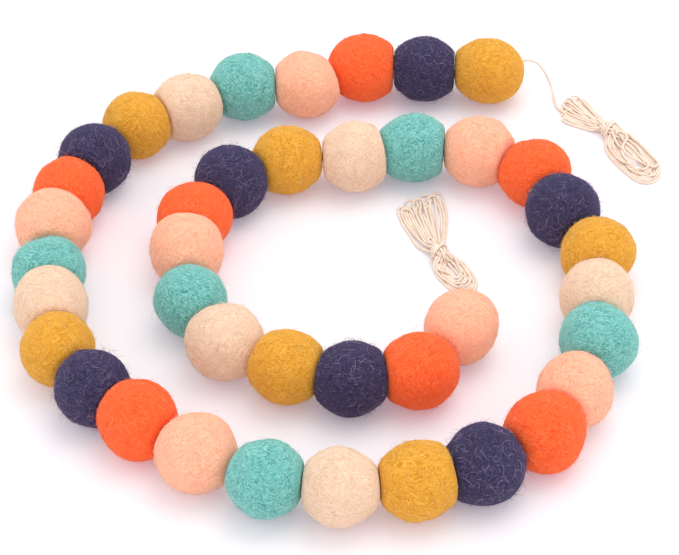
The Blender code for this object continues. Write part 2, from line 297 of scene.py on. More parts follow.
def waist_slots(rows):
    """Where runs pass through the waist: across it and up, in rows that nest in each other."""
    slots = []
    for level, count in enumerate(rows):
        for place in np.arange(count) - (count - 1) / 2:
            slots.append((place * CORD_THICKNESS, WAIST_FIRST_LEVEL + WAIST_LAYER_RISE * level))
    return slots


def loop_points(root, heading, flare, reach, out, back, middle, fold, rise, bow=0.0):
    """One loop: out along a run that spreads from the waist as a power of its share of the way,
    round a fold that is an arc, and back along a second run."""
    heading = unit(heading)
    side = np.array([-heading[1], heading[0]])
    straight = reach - fold
    spread = np.minimum(1, RUN_SHARES / flare[0]) ** flare[1]
    turn = 1 if back > out else -1
    left, right = middle - turn * fold, middle + turn * fold
    bowed = bow * np.exp(-((RUN_SHARES - BOW_PLACE) / BOW_WIDTH) ** 2)
    going = (out * spread + bowed) * (1 - FOLD_PULL) + left * FOLD_PULL
    coming = back * spread * (1 - FOLD_PULL) + right * FOLD_PULL
    along = np.concatenate([straight * RUN_SHARES, straight + fold * np.cos(FOLD_ANGLES),
                            straight * RUN_SHARES[::-1]])
    aside = np.concatenate([going, middle + turn * fold * np.sin(FOLD_ANGLES), coming[::-1]])
    level = LOBE_ROOT_LEVEL + (rise - LOBE_ROOT_LEVEL) * RUN_SHARES
    levels = np.concatenate([level, rise + FOLD_LEAN * np.sin(FOLD_ANGLES), level[::-1]])
    plan = np.asarray(root) + along[:, None] * heading + aside[:, None] * side
    return np.column_stack([plan, levels])


def wound_route(tail, hank):
    """The cord's stations from its exit to its tucked end: the tail, then loop after loop in
    turn on either side of the waist, the wraps round the waist and the end under the wraps."""
    waist = np.array(hank["waist"])
    lobes = [hank["far_lobe"], hank["near_lobe"]]
    axis = unit(unit(lobes[0]["heading"]) - unit(lobes[1]["heading"]))
    across = np.array([-axis[1], axis[0]])
    slots = waist_slots(hank["rows"])
    route = [*tail, *hank["entry"]]
    count = len(lobes[0]["loops"]) + len(lobes[1]["loops"])
    for number in range(count):
        side = 1 if number % 2 == 0 else -1
        lobe = lobes[number % 2]
        aside, level = slots[hank["slots"][number]]
        for end in (-side, side):
            route.append((*(waist + across * aside + axis * end * WAIST_HALF_LENGTH), level))
        root = waist + unit(lobe["heading"]) * lobe["root"]
        route += [*loop_points(root, lobe["heading"], lobe["flare"], *lobe["loops"][number // 2])]
    wrap = hank["wrap"]
    turns = np.linspace(0, wrap["turns"], int(wrap["turns"] * WRAP_POINTS) + 1)
    angle = wrap["angle"] + wrap["spin"] * 2 * np.pi * turns
    aside = wrap["half_width"] * np.cos(angle)
    along = wrap["start"] + wrap["pitch"] * turns + wrap["tilt"] * aside
    plan = waist + along[:, None] * axis + aside[:, None] * across
    route += [*np.column_stack([plan, wrap["level"] + wrap["half_height"] * np.sin(angle)])]
    for aside, along, level in hank["tuck"]:
        route.append((*(waist + across * aside + axis * along), level))
    return np.array(route)


# %% Letting the wound cord settle
SETTLE_ROUNDS = 200
SETTLE_DROP = 0.02  # in mm, in each round
SETTLE_STIFFNESS = 0.22  # share of the way to the middle of its neighbours
NEW_NEIGHBOURS_EVERY = 8  # rounds between two searches for near stretches
NEIGHBOUR_REACH = 2.2  # in thicknesses, how near a stretch is to be looked at
SAME_STRETCH = 1.6  # in thicknesses, nearer than this along the cord nothing pushes
LENGTH_PASSES = 3  # times that each round mends the spacing
WAIST_REACH = 3.2  # in mm, how far from its middle the waist is held
HOLD_LOBES, HOLD_WAIST, HOLD_TAIL = 0.015, 0.10, 0.4  # shares of the way back in a round
TINY = 1e-9  # keeps a division by a distance safe


def settled(route, waist, tail_length):
    """The cord after it has settled: in each round a point moves towards the middle of its
    neighbours (bending), down a little (weight), away from any other stretch that is nearer
    than one thickness (contact), back to its spacing (length), up to the floor, and by a small
    share back to where it was laid (friction)."""
    points, home, count = route.copy(), route.copy(), len(route)
    hold = np.full((count, 1), HOLD_LOBES)
    hold[np.linalg.norm(route[:, :2] - waist, axis=1) < WAIST_REACH] = HOLD_WAIST
    hold[:int(tail_length / ROUTE_STEP)] = HOLD_TAIL
    apart_along = int(np.ceil(SAME_STRETCH * CORD_THICKNESS / ROUTE_STEP)) + 1
    first, second = np.triu_indices(count, apart_along)
    for number in range(SETTLE_ROUNDS):
        if number % NEW_NEIGHBOURS_EVERY == 0:
            apart = ((points[first] - points[second]) ** 2).sum(axis=1)
            close = apart < (NEIGHBOUR_REACH * CORD_THICKNESS) ** 2
            one, other = first[close], second[close]
        points[1:-1] += SETTLE_STIFFNESS * ((points[:-2] + points[2:]) / 2 - points[1:-1])
        points[:, 2] -= SETTLE_DROP
        gap = points[one] - points[other]
        distance = np.linalg.norm(gap, axis=1) + TINY
        push = gap * (np.maximum(CORD_THICKNESS - distance, 0) / distance / 2)[:, None]
        touching = distance < CORD_THICKNESS
        moves = np.column_stack([np.bincount(one, push[:, i], count)
                                 - np.bincount(other, push[:, i], count) for i in range(3)])
        contacts = (np.bincount(one[touching], minlength=count)
                    + np.bincount(other[touching], minlength=count))
        points += moves / np.sqrt(np.maximum(contacts, 1))[:, None]
        for start in (0, 1) * LENGTH_PASSES:
            pairs = (count - start) // 2
            low, high = points[start:start + 2 * pairs:2], points[start + 1:start + 2 * pairs:2]
            link = high - low
            spacing = np.linalg.norm(link, axis=1, keepdims=True) + TINY
            fix = link * (1 - ROUTE_STEP / spacing) / 2
            low += fix
            high -= fix
        points[:, 2] = np.maximum(points[:, 2], CORD_THICKNESS / 2)
        points += hold * (home - points)
    return points


# %% Both cords, laid and settled
CLEARANCE = 0.3 * MM  # between the string's end and the tail's start


def settled_cord(exit_point, heading, tail_route, hank):
    """Points of one whole cord in metres, from just clear of the string to its tucked end."""
    start = (exit_point + unit(heading) * CLEARANCE) / MM
    tail = [start, *tail_route]
    laid = even_route(wound_route(tail, hank), ROUTE_STEP)
    return settled(laid, hank["waist"], length_of(tail)) * MM


cord_a_path = settled_cord(first_exit, FIRST_EXIT_HEADING, TAIL_A_ROUTE, HANK_A)
cord_b_path = settled_cord(last_exit, LAST_EXIT_HEADING, TAIL_B_ROUTE, HANK_B)
print("cord lengths", round(length_of(cord_a_path), 3), round(length_of(cord_b_path), 3), "m")

# %% [markdown]
# ## Twisted cord
# The cord is cotton of three plies twisted together. Up close it has a rope's ridges, so its
# section is a rounded trefoil that turns as it goes along.
# A section carried along a path needs a direction across it that doesn't spin. Here each next
# direction is the last one with its part along the path taken out, which follows bends calmly.

# %% A tube of twisted plies
CORD_SIDES = 12
RING_STEP = 0.48 * MM
PLIES = 3
PLY_PITCH = 3.6 * MM  # length of one full turn of a ply
PLY_DEPTH = 0.09  # of the cord's radius
RIDGE_LEVEL = 0.6  # where the radius lies, from groove (-1) to ridge (1)
END_TAPER, END_THINNEST = 0.4, 0.02  # of a diameter, and the square of the last ring's share
CORD_DIAMETER = CORD_THICKNESS * MM
NOT_ALONG = (0.3, 0.2, 1.0)  # any direction that neither cord starts in


def across_path(path):
    """Two directions square to the path at each point, carried along it without spin."""
    along = unit(np.gradient(path, axis=0))
    start = unit(np.cross(along[0], NOT_ALONG))
    sides = [start]
    for heading in along[1:]:
        sides.append(unit(sides[-1] - heading * (sides[-1] @ heading)))
    sides = np.array(sides)
    return sides, np.cross(along, sides)


def cord_grid(path):
    """Rings of the twisted cord: the radius is half the thickness times (one plus the ply's depth
    times a wave). The wave is the cosine of three times (the angle round the cord less the ply's
    turn), less the ridge level. Near both ends the radius shrinks as the square root of the
    distance to the end."""
    side, up = across_path(path)
    travelled = distance_along(path)
    angle = 2 * np.pi * np.arange(CORD_SIDES) / CORD_SIDES
    ridge = np.cos(PLIES * (angle - 2 * np.pi * travelled[:, None] / PLY_PITCH))
    reach = CORD_DIAMETER / 2 * (1 + PLY_DEPTH * (ridge - RIDGE_LEVEL))
    to_end = np.minimum(travelled, travelled[-1] - travelled)
    taper = np.sqrt(np.clip(to_end / (END_TAPER * CORD_DIAMETER), END_THINNEST, 1))
    reach = (reach * taper[:, None])[..., None]
    return path[:, None] + reach * spokes(CORD_SIDES, side, up)


def add_cord(name, path, replaced):
    """A free cord as a closed tube, with its tail and hank in one piece."""
    fine = even_route(path, RING_STEP)
    rings = cord_grid(fine)
    faces = grid_faces(len(rings), CORD_SIDES, close_rows=False)
    last = (len(rings) - 1) * CORD_SIDES
    caps = np.array([np.arange(CORD_SIDES)[::-1], last + np.arange(CORD_SIDES)])
    piece = add_mesh(name, rings.reshape(-1, 3), [faces, caps])
    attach(piece, "root")
    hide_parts(*replaced)
    return piece


cord_a = add_cord("cord_and_hank_a", cord_a_path, ("tail_a", "hank_a"))
cord_b = add_cord("cord_and_hank_b", cord_b_path, ("tail_b", "hank_b"))
print("cord quads", len(cord_a.data.polygons), len(cord_b.data.polygons))

# %% [markdown]
# ## The shape of a felt ball
# A felt ball is rolled wet between the palms. It comes out nearly round, with broad soft swells
# and shallow dents, and each ball differs. Strung tight, it is pressed flat where it meets its
# neighbours and swells a little beside that, and its own weight gives it a soft foot.
# The surface is a sphere in two angles round the string. Its radius is stretched by a few slow
# waves in random directions. A soft stop then presses it back to the planes between the balls
# and to the floor, which leaves no crease as a hard cut would.

# %% Swells and dents
# For the broad waves and the fine ones: how many, the slowest and the quickest in radians over
# one radius, and their height as a share of the radius
SWELL_WAVES = ((9, 1.6, 3.6, 0.0062), (16, 6, 15, 0.0016))


def swell(directions, seed):
    """Share by which the radius grows: the sum of sine waves across the ball in random
    directions, slow and tall ones first, then quicker and flatter ones."""
    random = np.random.default_rng(seed)
    total = np.zeros(directions.shape[:-1])
    for count, slow, quick, height in SWELL_WAVES:
        headings = unit(random.normal(size=(count, 3)))
        pitch = random.uniform(slow, quick, count)
        phase = random.uniform(0, 2 * np.pi, count)
        total += height * np.sin(directions @ headings.T * pitch + phase).sum(axis=-1)
    return total


# Directions on a ball as the camera sees it
UP, UP_LEFT, UP_RIGHT = (0.0, 0.65, 0.75), (-0.7, 0.45, 0.5), (0.7, 0.45, 0.5)
DOWN_LEFT, DOWN_RIGHT = (-0.7, -0.45, -0.5), (0.7, -0.45, -0.5)
# How balls in the photograph differ from round: the direction of a bulge, or of a hollow where
# the amount is negative, in shares of the radius
HABITS = {
    1: (((-0.8, 0.4, 0.4), 0.095), ((1.0, 0.1, 0.1), 0.075), ((0.0, 0.6, 0.8), -0.035),
        ((0.0, -0.65, -0.75), -0.050), ((-1.0, 0.0, -0.1), 0.030)),
    2: (((0.0, 0.6, 0.8), 0.050), (DOWN_LEFT, -0.045), ((0.3, -0.65, -0.7), -0.030)),
    3: (((0.7, 0.2, 0.7), 0.075), ((-0.8, 0.1, 0.5), 0.060), ((0.6, -0.6, -0.3), 0.050),
        ((0.0, -0.4, 0.9), -0.030), (DOWN_LEFT, 0.035)),
    4: (((-0.4, 0.4, 0.8), 0.100), ((0.8, 0.3, 0.4), -0.065), ((-0.7, -0.5, -0.5), -0.050)),
    5: (((0.5, -0.1, 0.8), -0.025), ((-0.9, -0.1, 0.1), -0.035)),
    6: (((0.6, 0.5, 0.5), 0.025), (UP_LEFT, 0.025)),
    8: (((1.0, -0.2, 0.0), 0.060), ((-0.9, -0.3, -0.2), -0.055)),
    9: (((0.3, 0.65, 0.7), -0.050), (UP_RIGHT, -0.040), (UP_LEFT, -0.035)),
    10: (((-0.2, 0.6, 0.75), 0.030), ((1.0, 0.0, 0.1), 0.085), ((-0.8, 0.35, 0.4), 0.045)),
    11: (((-0.2, 0.65, 0.75), -0.140), ((1.0, -0.2, 0.0), 0.045), ((-1.0, 0.1, 0.0), -0.045)),
    12: (((-0.2, 0.65, 0.75), 0.060), (UP_LEFT, 0.025)),
    13: (((-0.8, 0.3, 0.3), -0.040),),
    14: (((-0.7, 0.4, 0.5), -0.055), ((0.7, 0.5, 0.5), 0.035), ((-0.7, -0.5, -0.5), -0.040)),
    15: (((0.8, 0.4, 0.4), 0.030), ((0.0, -0.7, -0.6), 0.050), (DOWN_RIGHT, 0.050)),
    16: (((0.7, 0.4, 0.5), 0.050), ((-0.7, 0.4, 0.5), -0.045)),
    17: (((0.3, 0.6, 0.7), 0.035), ((-0.8, -0.3, -0.3), -0.055), (DOWN_RIGHT, -0.045)),
    18: (((-0.2, -0.3, 0.9), -0.020), ((0.7, 0.5, 0.5), -0.050)),
    19: (((0.5, 0.5, 0.6), 0.045), ((-0.3, -0.6, -0.7), 0.050)),
    20: (((-0.8, 0.3, 0.3), -0.040), ((0.6, -0.5, -0.5), 0.050), (UP_RIGHT, -0.040),
         (DOWN_LEFT, 0.045), (UP, 0.030)),
    21: (((-0.9, 0.0, 0.1), 0.050), ((0.3, -0.6, -0.6), 0.060), ((0.1, 0.65, 0.75), -0.050)),
    22: (((0.7, 0.4, 0.4), 0.020), (UP, 0.030), (UP_LEFT, -0.030)),
    23: (((1.0, -0.2, 0.1), 0.050), ((-1.0, -0.1, 0.1), -0.025)),
    24: (((0.5, 0.6, 0.6), 0.060),),
    25: (((1.0, 0.0, 0.1), 0.100), ((-0.9, 0.2, 0.3), -0.060), ((-0.6, 0.55, 0.6), -0.035)),
    26: (((-0.3, 0.5, 0.7), 0.030),),
    27: (((-0.5, 0.3, 0.8), -0.070), ((0.9, -0.2, 0.3), 0.065), ((0.0, 0.6, 0.75), -0.040),
         (UP_LEFT, -0.035)),
    28: (((-0.8, 0.3, 0.4), 0.060), ((0.5, 0.6, 0.6), 0.045)),
    29: (((0.6, 0.5, 0.5), 0.045), ((-0.9, -0.1, 0.1), 0.060), ((-0.6, 0.55, 0.6), -0.040),
         ((-0.2, -0.65, -0.7), -0.045)),
    30: ((UP_LEFT, -0.055), ((-0.6, -0.5, -0.6), -0.045)),
    31: (((-0.7, -0.6, 0.1), 0.050), ((0.1, 0.6, 0.75), -0.045), (DOWN_LEFT, 0.045),
         (UP_LEFT, 0.025)),
    32: (((-0.8, -0.3, 0.0), -0.055), ((0.7, -0.5, -0.4), 0.040)),
    33: (((1.0, 0.1, 0.1), 0.060), (UP, -0.030), ((-0.9, 0.1, 0.1), -0.020)),
    34: (((0.0, 0.6, 0.75), 0.010), ((-0.7, 0.5, 0.5), 0.090), (UP_RIGHT, 0.045)),
    35: ((UP, -0.040), (DOWN_LEFT, -0.055)),
    36: (((-0.4, 0.6, 0.7), -0.095), (DOWN_RIGHT, 0.065)),
    37: (((0.6, 0.5, 0.6), 0.040), ((-0.8, 0.3, 0.3), -0.030), (DOWN_LEFT, -0.045)),
    38: ((UP_LEFT, -0.040), ((0.6, -0.5, -0.6), -0.050)),
    39: (((-0.3, 0.6, 0.7), 0.050), ((1.0, 0.0, 0.0), 0.050)),
    40: (((0.8, 0.4, 0.4), 0.065), ((-0.6, 0.5, 0.6), -0.030), ((-0.9, 0.0, 0.0), -0.020)),
}
HABIT_SPREAD = 5.0  # how narrow a bump is


def habit(directions, number):
    """Share by which a ball's own bulges and hollows move its surface: round bumps, each its
    amount times the exponential of the spread times (the cosine of the angle from its middle
    less one)."""
    total = np.zeros(directions.shape[:-1])
    for heading, amount in HABITS.get(number, ()):
        total += amount * np.exp(HABIT_SPREAD * (directions @ unit(heading) - 1))
    return total


# %% Pressing against neighbours and the floor
CONTACT_SOFTNESS = 0.38 * MM
CONTACT_GAP = 0.06 * MM
FLOOR_SOFTNESS = 0.22 * MM
CONTACT_SPREAD = 0.55 * MM  # how far a pressed ball swells out towards a contact
SPREAD_PLACE = -1.0 * MM  # the depth behind the contact's plane where it swells most
SPREAD_WIDTH = 2.2 * MM
# Some balls are softer than the next one, which moves the plane where the two meet towards the
# softer ball: the number of the first ball, and how far towards the second, in mm
CONTACT_SHIFTS = {1: 0.5, 3: 1.6, 16: 1.3, 19: -0.6, 28: 0.9, 29: 1.4, 30: -0.7, 36: 1.4, 37: 0.4}
MOUTH_PUCKER = 0.7 * MM  # how deep the string draws in the felt where it shows
PUCKER_WIDTH = 0.008  # as one less the cosine of the angle from the string


def soft_stop(depth, softness):
    """A depth below zero stays as it is and a larger one levels off at zero, along the curve
    minus the softness times the logarithm of one plus the exponential of minus the depth over
    the softness."""
    return -softness * np.logaddexp(0, -depth / softness)


def contact_planes(index):
    """A point and an outward direction for each neighbour that presses on this ball."""
    planes = []
    for neighbour, station in ((index - 1, index), (index + 1, index + 1)):
        if 0 <= neighbour < len(centres):
            outward = unit(centres[neighbour] - centres[index])
            shift = CONTACT_SHIFTS.get(station, 0.0) * MM * (1 if neighbour > index else -1)
            planes.append((stations[station] + outward * (shift - CONTACT_GAP / 2), outward))
    return planes


def pressed(points, index):
    """The points moved back behind the contact planes and above the floor by the soft stop."""
    for point, outward in contact_planes(index):
        depth = (points - point) @ outward
        points = points + (soft_stop(depth, CONTACT_SOFTNESS) - depth)[..., None] * outward
    points = points.copy()
    points[..., 2] = -soft_stop(-points[..., 2], FLOOR_SOFTNESS)
    return points


def felt_surface(directions, index, lift=0.0):
    """Points of a ball's skin in the given directions from its centre, or a lift above it. The
    reach is the radius times (one plus swell plus habit), plus a bell curve of the depth behind
    each contact, less an exponential dip where the string shows. The soft stops then press it."""
    reach = radii[index] * (1 + swell(directions, index) + habit(directions, index + 1)) + lift
    for point, outward in contact_planes(index):
        depth = (centres[index] + directions * radii[index] - point) @ outward
        reach = reach + CONTACT_SPREAD * np.exp(-((depth - SPREAD_PLACE) / SPREAD_WIDTH) ** 2)
    ends = ((stations[index], index == 0), (stations[index + 1], index == len(radii) - 1))
    for mouth, bare in ends:
        if bare:
            away = 1 - directions @ unit(mouth - centres[index])
            reach = reach - MOUTH_PUCKER * np.exp(-away / PUCKER_WIDTH)
    return pressed(centres[index] + directions * reach[..., None], index)


# %% One ball as a grid round its string hole
AROUND, ALONG = 80, 48
BORE_RADIUS = 0.56 * MM  # the felt closes round the cord
HOLE_RINGS = np.array([0.33, 0.67])  # places of the hole's own rings from mouth to mouth


def ball_frame(index):
    """The string's direction through a ball, and two directions square to it."""
    axis = unit(stations[index + 1] - stations[index])
    side = unit(np.cross((0, 0, 1), axis))
    return axis, side, np.cross(axis, side)


def ball_grid(index):
    """Rings round the string: over the skin from mouth to mouth, then back along the hole. The
    first and the last ring of the skin are drawn in to the hole's own circle.
    A point of the skin is the centre plus the reach times (minus the cosine of the row's angle
    along the string, plus its sine times a spoke of the column's angle round it)."""
    axis, side, up = ball_frame(index)
    around = spokes(AROUND, side, up)
    rim = np.arcsin(BORE_RADIUS / radii[index])
    lean = np.linspace(rim, np.pi - rim, ALONG)[:, None, None]
    skin = felt_surface(np.sin(lean) * around - np.cos(lean) * axis, index)
    for row, mouth in ((0, stations[index]), (-1, stations[index + 1])):
        toward = (skin[row] - mouth) @ axis
        skin[row] = mouth + BORE_RADIUS * around + toward.mean() * axis
    hole = skin[-1] + (skin[0] - skin[-1]) * HOLE_RINGS[:, None, None]
    return np.concatenate([skin, hole])


def add_ball(index):
    """One felt ball, standing for its plain node."""
    points = ball_grid(index).reshape(-1, 3)
    faces = grid_faces(ALONG + len(HOLE_RINGS), AROUND, close_rows=True)
    ball = add_mesh(f"felt_ball_{index + 1:02d}", points, faces)
    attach(ball, "root")
    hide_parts(f"ball_{index + 1:02d}")
    return ball


felt_balls = [add_ball(index) for index in range(len(BALLS))]
print("felt balls", len(felt_balls), "with", sum(len(b.data.polygons) for b in felt_balls), "quads")

# %% [markdown]
# ## Loose fibres
# No felt ball is bare: fibres lie over it in arcs and loops, a short fuzz stands off its edge,
# and here and there a long hair has worked loose. On the navy balls the loose fibres are much
# paler than the ball, so they show best there.
# A noise in the finish can't stand off the edge, so these are real strands of three sides. They
# are laid as whole arrays: each starts somewhere on the skin, runs over it as an arc, and its
# height above the skin is a sine for its middle plus a power for its tip.

# %% Kinds of loose fibre
STRAND_SIDES = 3
ROOT_DEPTH = 0.05  # how far a root is sunk in the felt
# For each kind, in mm: first its course, which is its least and most length, turn in radians,
# height of the middle and height of the tip, then its points, and how far its heading strays
# from the swirls that the balls were rolled in. Its thickness and its range of tones follow.
FIBRE_KINDS = {
    "fuzz": (((0.6, 2.1), (0.1, 1.4), (0.0, 0.05), (0.2, 1.15), 3, 2.0), 0.075, (0.15, 1.0)),
    "lying": (((2.0, 6.0), (0.3, 2.0), (0.07, 0.14), (-0.04, 0.04), 7, 0.4), 0.10, (0.0, 1.0)),
    "stray": (((4.0, 10.0), (1.2, 3.6), (0.1, 0.8), (-0.05, 1.2), 11, 1.0), 0.07, (0.6, 1.0)),
    "curl": (((5.0, 10.0), (4.2, 7.2), (0.1, 0.4), (0.0, 0.5), 14, 2.0), 0.075, (0.5, 1.0)),
    "loose": (((2.0, 5.5), (0.8, 3.5), (0.0, 0.3), (0.8, 3.0), 7, 2.0), 0.07, (0.1, 0.9)),
}
# How many of each kind, in the same order, a ball of each colour has
FIBRE_COUNTS = {
    "mustard": (500, 130, 8, 2, 16),
    "navy": (640, 190, 12, 8, 70),
    "coral": (440, 110, 8, 2, 16),
    "peach": (440, 120, 12, 3, 18),
    "teal": (440, 140, 10, 3, 18),
    "cream": (440, 110, 8, 2, 14),
}
FOOT_SHARE = -0.75  # no fibre starts on the foot that the ball stands on
CONTACT_SHARE = 0.90  # or where the string or a neighbour meets it


# %% Paths and strands of fibres
SPARE_TRIES = (3, 20)  # directions drawn: so many for each fibre, and some more
SWIRL_PITCH = 1.7  # radians over one radius
SWIRL_LEAN = (0.0, 0.7, 0.7)  # added, so that the field seldom fades out
TIP_POWER, ROOT_POWER = 1.5, 4  # how late a tip lifts, and how soon a root has come out
TAPER, TAPER_POWER = 0.8, 4  # how much a strand thins at its tips, and how late


def start_directions(random, count, axis):
    """Random directions from a ball's centre, clear of its foot and of its two ends."""
    tries = unit(random.normal(size=(SPARE_TRIES[0] * count + SPARE_TRIES[1], 3)))
    free = (tries[:, 2] > FOOT_SHARE) & (np.abs(tries @ axis) < CONTACT_SHARE)
    return tries[free][:count]


def swirl(directions, seed):
    """A field of directions that turns slowly over the ball: sine waves in each component."""
    random = np.random.default_rng(seed)
    waves = random.normal(size=(3, 3)) * SWIRL_PITCH
    phase = random.uniform(0, 2 * np.pi, 3)
    return unit(np.sin(directions @ waves + phase) + SWIRL_LEAN)


def fibre_paths(random, index, count, course):
    """Points of many fibres over one ball, as fibres by points by three. In the plane that
    touches the skin at its root a fibre is an arc: sideways (1 - cos(turn)) / bend and ahead
    sin(turn) / bend."""
    lengths, turns, middles, tips, steps, astray = course
    start = start_directions(random, count, ball_frame(index)[0])
    rolled = swirl(start, index) + astray * random.normal(size=start.shape)
    ahead = unit(np.cross(start, rolled))
    aside = np.cross(start, ahead)
    length, middle, tip = (random.uniform(*limits, (len(start), 1)) * MM
                           for limits in (lengths, middles, tips))
    turn = random.uniform(*turns, (len(start), 1)) * random.choice((-1, 1), (len(start), 1))
    share = np.linspace(0, 1, steps)[None, :]
    bend = turn / length
    forward, sideways = np.sin(turn * share) / bend, (1 - np.cos(turn * share)) / bend
    directions = unit(start[:, None] + (forward[..., None] * ahead[:, None]
                                        + sideways[..., None] * aside[:, None]) / radii[index])
    rooted = ROOT_DEPTH * MM * (1 - share) ** ROOT_POWER
    lift = middle * np.sin(np.pi * share) + tip * share ** TIP_POWER - rooted
    return felt_surface(directions, index, lift), directions


def strand_points(paths, outward, thickness):
    """Rings of three round each path. The radius is half the thickness times (one less the taper
    times a power of the share of the way from the middle to a tip)."""
    along = unit(np.gradient(paths, axis=1))
    side = unit(np.cross(outward, along))
    up = np.cross(along, side)
    share = np.linspace(-1, 1, paths.shape[1])
    reach = thickness / 2 * (1 - TAPER * share ** TAPER_POWER)[None, :, None, None]
    return paths[:, :, None] + reach * spokes(STRAND_SIDES, side, up)


def strand_faces(count, steps, start):
    """Quads and end triangles of many strands of the same number of points."""
    quads = grid_faces(steps, STRAND_SIDES, close_rows=False)
    last = (steps - 1) * STRAND_SIDES
    caps = np.array([[0, 2, 1], [last, last + 1, last + 2]])
    step = steps * STRAND_SIDES * np.arange(count)[:, None, None] + start
    return (quads + step).reshape(-1, 4), (caps + step).reshape(-1, 3)


# %% One piece of fibres for each colour
FIBRE_SEED = 700


def add_fibres(colour):
    """All loose fibres on the balls of one colour, each with a tone of its own."""
    random = np.random.default_rng(FIBRE_SEED + COLOURS.index(colour))
    points, quads, caps, tones, total = [], [], [], [], 0
    for index in range(COLOURS.index(colour), len(BALLS), len(COLOURS)):
        for kind, count in zip(FIBRE_KINDS.values(), FIBRE_COUNTS[colour]):
            course, thickness, tone_range = kind
            paths, outward = fibre_paths(random, index, count, course)
            rings = strand_points(paths, outward, thickness * MM)
            faces, ends = strand_faces(len(paths), paths.shape[1], total)
            tone = random.uniform(*tone_range, len(paths))
            points.append(rings.reshape(-1, 3))
            quads.append(faces)
            caps.append(ends)
            tones.append(np.repeat(tone, paths.shape[1] * STRAND_SIDES))
            total += len(points[-1])
    points = np.concatenate(points)
    points[:, 2] = np.maximum(points[:, 2], 0.0)  # no strand reaches below the floor
    piece = add_mesh("fibres_" + colour, points, [np.concatenate(quads), np.concatenate(caps)])
    tone = piece.data.attributes.new("tone", "FLOAT", "POINT")
    tone.data.foreach_set("value", np.concatenate(tones).astype(np.float32))
    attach(piece, "root")
    return piece


fibres = {colour: add_fibres(colour) for colour in COLOURS}
print("fibre faces", {colour: len(piece.data.polygons) for colour, piece in fibres.items()})

# %% [markdown]
# ## The felt's finish
# Wool felt is a mat of fine curved fibres. From near it is not one colour: pale fibres lie over
# darker ones in swirls that cross each other, and the tone drifts over the ball.
# Noise that is stretched along one direction looks like brushed fibres where that direction
# lies in the surface. Three layers stretched in three directions, each bent by a slow noise,
# cover the whole ball with crossing curved streaks.

# %% Node helpers
def srgb(red, green, blue):
    """A colour as a screen shows it, from 0 to 255, as the light values that a shader takes
    (the curve of the sRGB standard)."""
    value = np.array([red, green, blue]) / 255
    linear = np.where(value <= 0.04045, value / 12.92, ((value + 0.055) / 1.055) ** 2.4)
    return (*(float(x) for x in linear), 1.0)


class Finish:
    """A material's node tree with short ways to add a node and to join it up."""

    def __init__(self, name):
        self.material = bpy.data.materials.new(name)
        self.material.use_nodes = True
        self.nodes = self.material.node_tree.nodes
        self.links = self.material.node_tree.links
        self.shader = self.nodes["Principled BSDF"]
        self.place = self.nodes.new("ShaderNodeTexCoord").outputs["Object"]

    def put(self, socket, value):
        """Sets a socket to a value, or links it where the value is another node's output."""
        if isinstance(value, bpy.types.NodeSocket):
            self.links.new(value, socket)
        else:
            socket.default_value = value

    def surface(self, values):
        """Sets or links the shader's inputs by their names."""
        for name, value in values.items():
            self.put(self.shader.inputs[name], value)

    def node(self, kind, values, **settings):
        """A new node's outputs, with its settings made and its inputs set or linked."""
        node = self.nodes.new("ShaderNode" + kind)
        for name, setting in settings.items():
            setattr(node, name, setting)
        for name, value in values.items():
            self.put(node.inputs[name], value)
        return node.outputs

    def math(self, operation, first, second):
        return self.node("Math", {0: first, 1: second}, operation=operation)[0]

    def noise(self, place, scale, detail=2.0, roughness=0.5):
        return self.node("TexNoise", {"Vector": place, "Scale": scale, "Detail": detail,
                                      "Roughness": roughness})

    def streaks(self, place, turn, size):
        """Noise whose features have a size along each axis of a frame that is turned."""
        turned = self.node("Mapping", {"Vector": place, "Rotation": turn, "Scale": size},
                           vector_type="TEXTURE")[0]
        return self.noise(turned, scale=1.0, detail=3.0, roughness=0.6)["Fac"]

    def ramp(self, value, low, high):
        """The value as a share of the way from low to high, eased at both ends."""
        return self.node("MapRange", {"Value": value, "From Min": low, "From Max": high},
                         interpolation_type="SMOOTHSTEP")[0]

    def mix(self, share, first, second):
        """The share of the way from the first colour to the second (inputs 6 and 7)."""
        return self.node("Mix", {0: share, 6: first, 7: second}, data_type="RGBA")[2]

    def bent(self, place, scale, distance):
        """The place pushed to and fro by a slow noise, which makes straight streaks wander."""
        colour = self.noise(place, scale, detail=1.0)["Color"]
        centred = self.node("VectorMath", {0: colour, 1: (0.5, 0.5, 0.5)}, operation="SUBTRACT")[0]
        return self.node("VectorMath", {0: centred, 1: (distance,) * 3, 2: place},
                         operation="MULTIPLY_ADD")[0]

    def bump(self, height, distance, strength):
        relief = self.node("Bump", {"Height": height, "Distance": distance, "Strength": strength})
        self.links.new(relief[0], self.shader.inputs["Normal"])


# %% The felt material
# For each colour: the deep tone between the fibres, the main tone, the pale fibres (each as a
# screen shows it), how much the pale fibres show, how much the tone drifts, and the fuzz's sheen
FELT_LOOKS = {
    "mustard": ((196, 127, 31), (225, 160, 55), (244, 201, 113), 0.55, 0.30, 0.60),
    "navy": ((38, 33, 60), (58, 53, 82), (116, 108, 146), 0.58, 0.30, 0.35),
    "coral": ((235, 76, 34), (253, 104, 53), (255, 148, 101), 0.35, 0.25, 0.55),
    "peach": ((236, 155, 123), (253, 184, 152), (255, 211, 185), 0.45, 0.25, 0.65),
    "teal": ((61, 131, 127), (117, 189, 183), (176, 224, 214), 0.60, 0.30, 0.65),
    "cream": ((216, 175, 143), (235, 202, 176), (248, 226, 206), 0.45, 0.25, 0.60),
}
